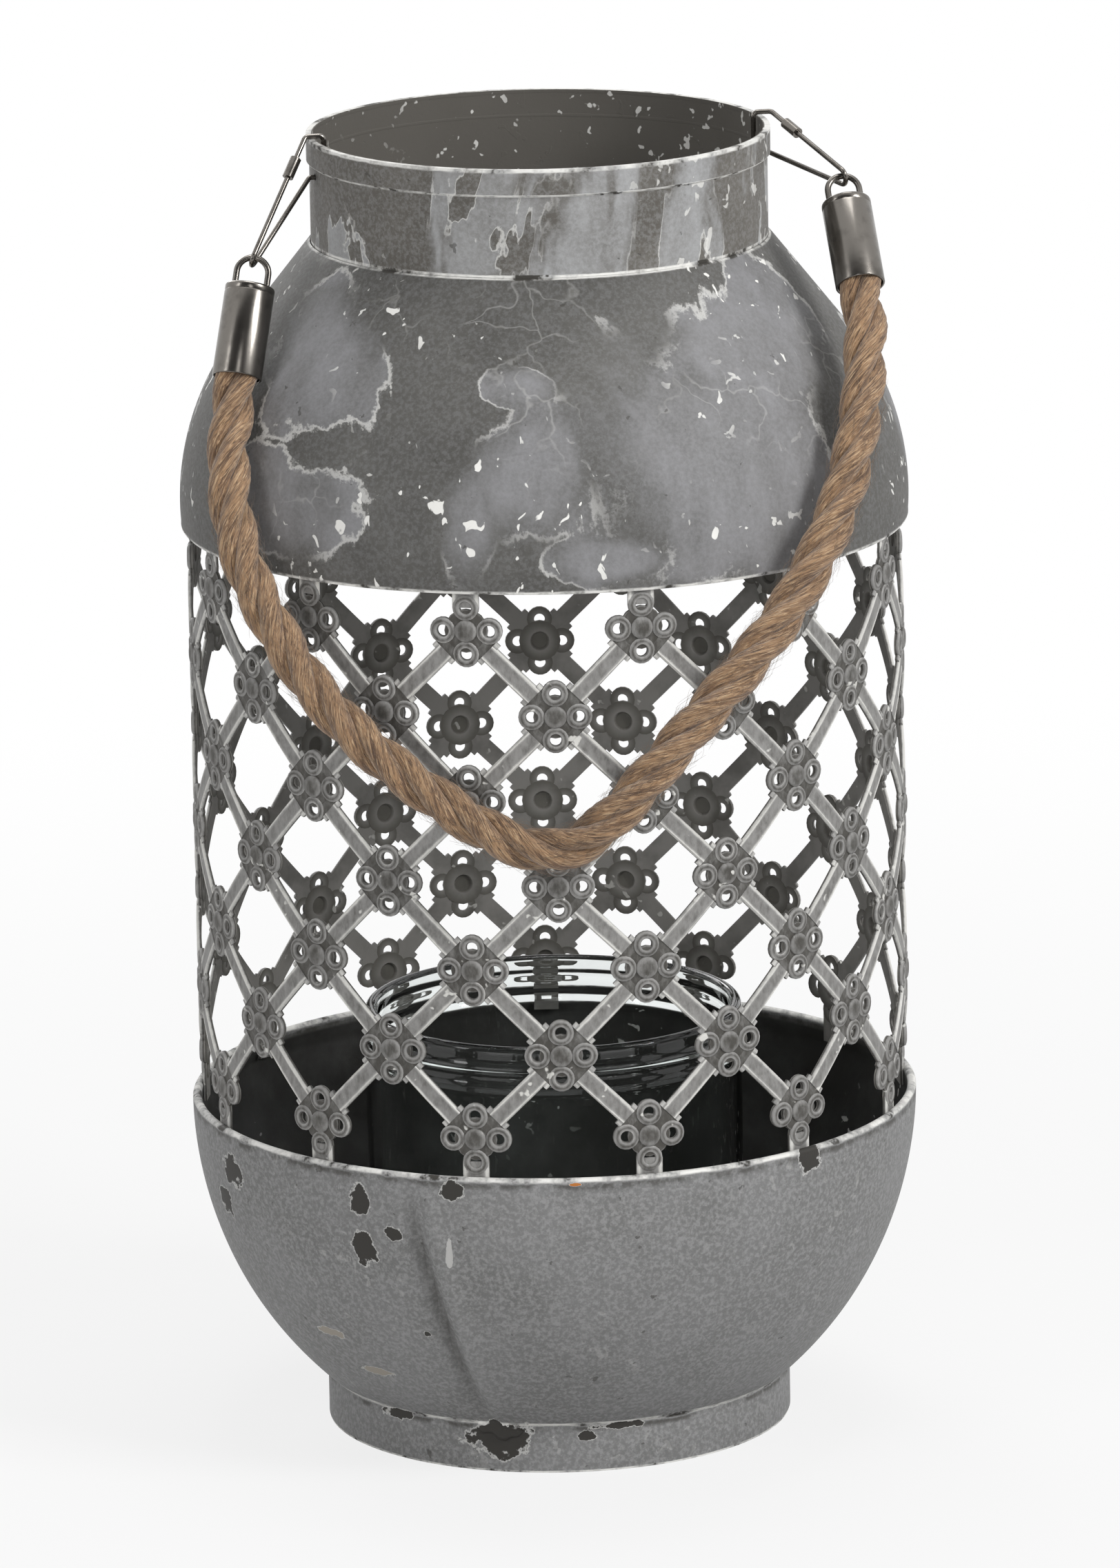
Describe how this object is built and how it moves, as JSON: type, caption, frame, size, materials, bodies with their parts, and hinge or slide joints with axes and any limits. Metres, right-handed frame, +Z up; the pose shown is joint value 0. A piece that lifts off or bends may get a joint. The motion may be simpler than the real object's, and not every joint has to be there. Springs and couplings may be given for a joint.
{
  "type": "candle lantern",
  "caption": "Weathered sheet-metal candle lantern with a bowl foot, pierced flower lattice, domed shoulder and open neck, a rope bail handle and a loose glass jar inside.",
  "frame": {"origin": "centre of the foot ring, on the surface that the lantern stands on", "axes": "+Z up, -Y towards the side where the rope handle hangs, +X to the right of that side"},
  "size_m": [0.2, 0.2137, 0.3629],
  "materials": {
    "zinc_bowl": "weathered grey zinc paint",
    "zinc_lattice": "brushed grey zinc paint, worn edges",
    "zinc_dome": "weathered grey zinc paint, chipped",
    "nickel": "bright nickel plate",
    "jute": "twisted jute rope",
    "clear_glass": "clear moulded glass"
  },
  "bodies": {
    "lantern": {"foot_ring": "zinc_bowl", "bowl": "zinc_bowl", "lattice_screen": "zinc_lattice", "dome": "zinc_dome", "neck_collar": "zinc_dome", "left_wire_loop": "nickel", "right_wire_loop": "nickel", "left_loop_sleeve": "nickel", "right_loop_sleeve": "nickel"},
    "handle": {"rope_handle": "jute", "left_ferrule": "nickel", "right_ferrule": "nickel", "left_eye_ring": "nickel", "right_eye_ring": "nickel"},
    "glass": {"glass_jar": "clear_glass"}
  },
  "joints": [
    {"name": "handle_swing", "type": "hinge", "parent": "lantern", "child": "handle", "pos_m": [0.00255, -0.02444, 0.34076], "axis": [-0.9875, -0.1228, -0.0988], "range_deg": [0, 120]},
    {"name": "glass_lift", "type": "slide", "parent": "lantern", "child": "glass", "axis": [0, 0, 1], "range_m": [0, 0.35]}
  ]
}
